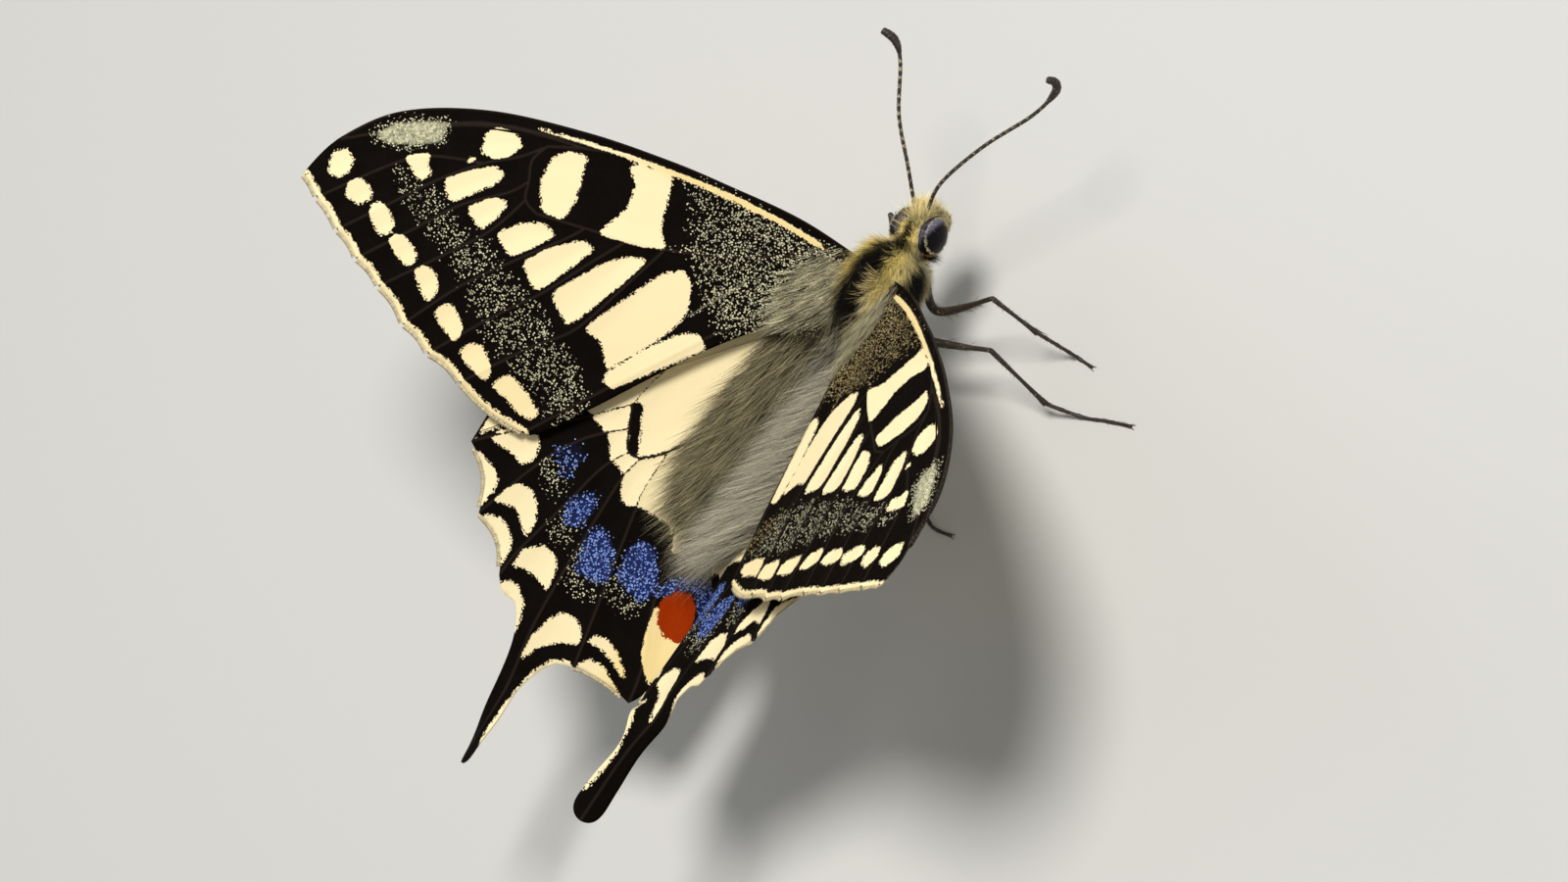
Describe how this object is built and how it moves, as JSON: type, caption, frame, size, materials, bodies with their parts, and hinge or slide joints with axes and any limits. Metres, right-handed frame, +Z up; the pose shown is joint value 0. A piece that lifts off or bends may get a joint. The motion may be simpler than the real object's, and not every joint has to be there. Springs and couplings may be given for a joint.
{
  "type": "swallowtail butterfly",
  "caption": "Life-size swallowtail butterfly standing with its tailed wings half open, a still natural history model.",
  "frame": {"origin": "on the floor under the middle of the butterfly's bounding box", "axes": "+Z up, +X along the body towards the head, +Y towards the butterfly's left"},
  "size_m": [0.0696, 0.0666, 0.038],
  "materials": {
    "wing": "powdery scales, matt",
    "fur": "soft fur, matt",
    "shell": "finely scaled, satin",
    "eye": "smooth, glossy"
  },
  "bodies": {
    "root": {"thorax": "fur", "abdomen": "fur", "head": "fur", "eye_left": "eye", "eye_right": "eye", "palp_left": "fur", "palp_right": "fur", "proboscis": "shell", "antenna_left": "shell", "antenna_right": "shell", "forewing_left": "wing", "forewing_right": "wing", "hindwing_left": "wing", "hindwing_right": "wing", "leg_front_right_femur": "shell", "leg_front_right_tibia": "shell", "leg_front_right_tarsus": "shell", "leg_mid_right_femur": "shell", "leg_mid_right_tibia": "shell", "leg_mid_right_tarsus": "shell", "leg_hind_right_femur": "shell", "leg_hind_right_tibia": "shell", "leg_hind_right_tarsus": "shell", "leg_front_left_femur": "shell", "leg_front_left_tibia": "shell", "leg_front_left_tarsus": "shell", "leg_mid_left_femur": "shell", "leg_mid_left_tibia": "shell", "leg_mid_left_tarsus": "shell", "leg_hind_left_femur": "shell", "leg_hind_left_tibia": "shell", "leg_hind_left_tarsus": "shell"}
  },
  "joints": []
}
